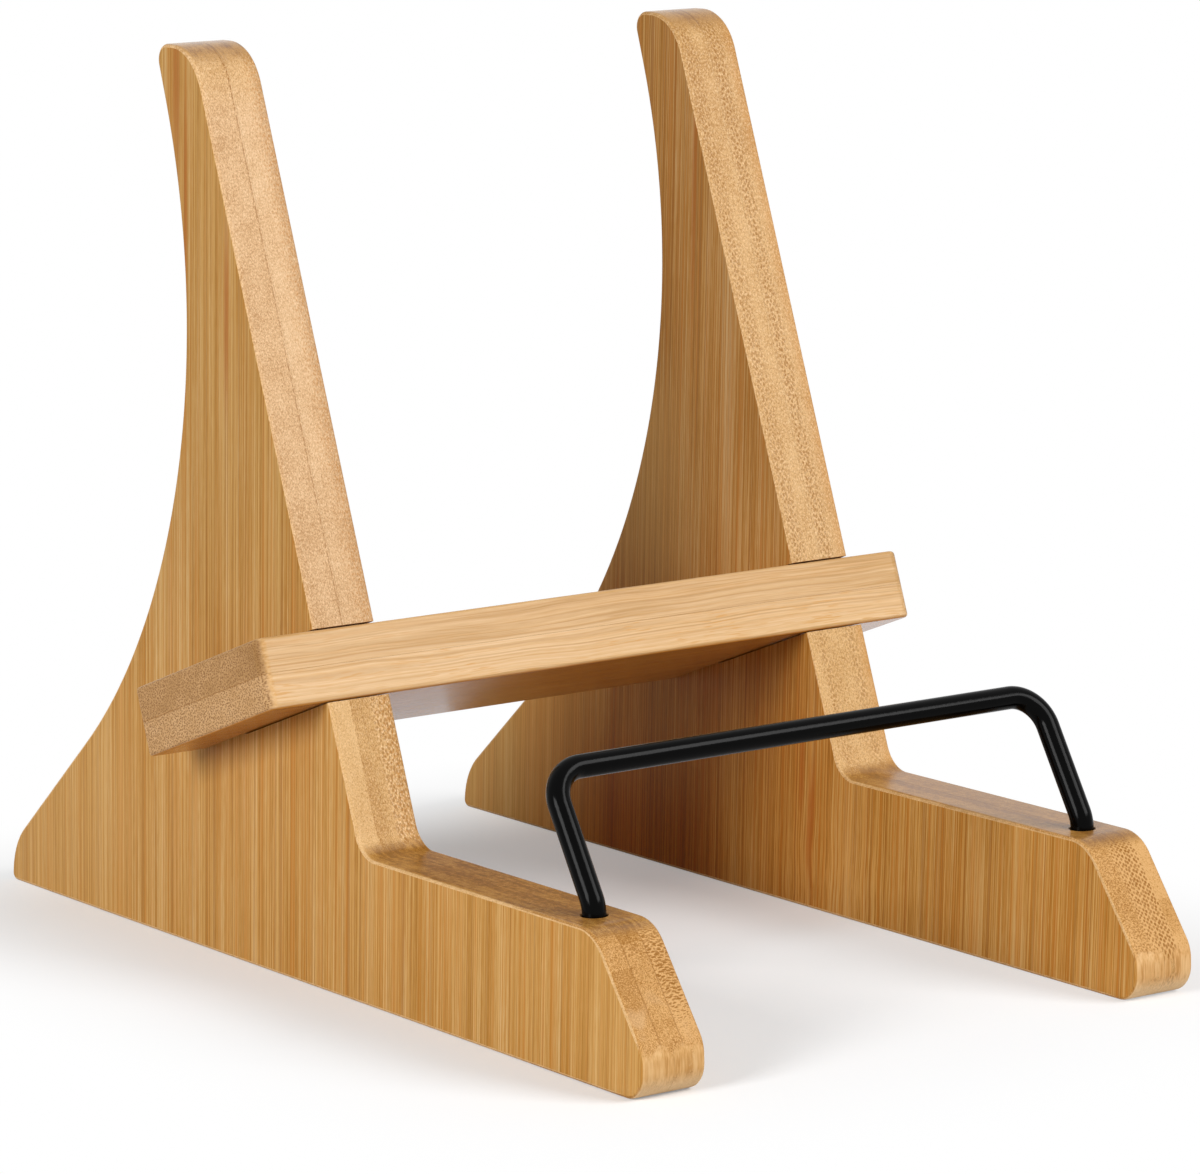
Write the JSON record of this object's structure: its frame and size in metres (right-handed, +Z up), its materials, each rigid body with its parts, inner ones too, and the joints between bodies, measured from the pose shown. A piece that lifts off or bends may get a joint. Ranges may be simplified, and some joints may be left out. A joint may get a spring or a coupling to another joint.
{
  "type": "book stand",
  "caption": "Knock-down book stand of wooden side panels joined by a lapped cross brace, with a bent wire stop at the front.",
  "frame": {"origin": "on the table, in the middle between the side panels and midway between the lips and the heels", "axes": "-Y to the front, where the wire stop stands; +Z up; +X to the right as seen from the front"},
  "size_m": [0.198, 0.2982, 0.232],
  "materials": {
    "side_bamboo": "carbonised bamboo, satin lacquer",
    "brace_bamboo": "paler bamboo, satin lacquer",
    "wire_black": "gloss black coated steel wire"
  },
  "bodies": {
    "side_panels": {"left_panel_outer_ply": "side_bamboo", "left_panel_inner_ply": "side_bamboo", "right_panel_inner_ply": "side_bamboo", "right_panel_outer_ply": "side_bamboo"},
    "cross_brace": {"brace_upper_ply": "brace_bamboo", "brace_lower_ply": "brace_bamboo"},
    "wire_stop": {"wire_stop": "wire_black"}
  },
  "joints": [
    {"name": "brace_pull", "type": "slide", "parent": "side_panels", "child": "cross_brace", "axis": [0, -0.9426, 0.3338], "range_m": [0, 0.07]},
    {"name": "stop_pull", "type": "slide", "parent": "side_panels", "child": "wire_stop", "axis": [0, 0, 1], "range_m": [0, 0.024]}
  ]
}
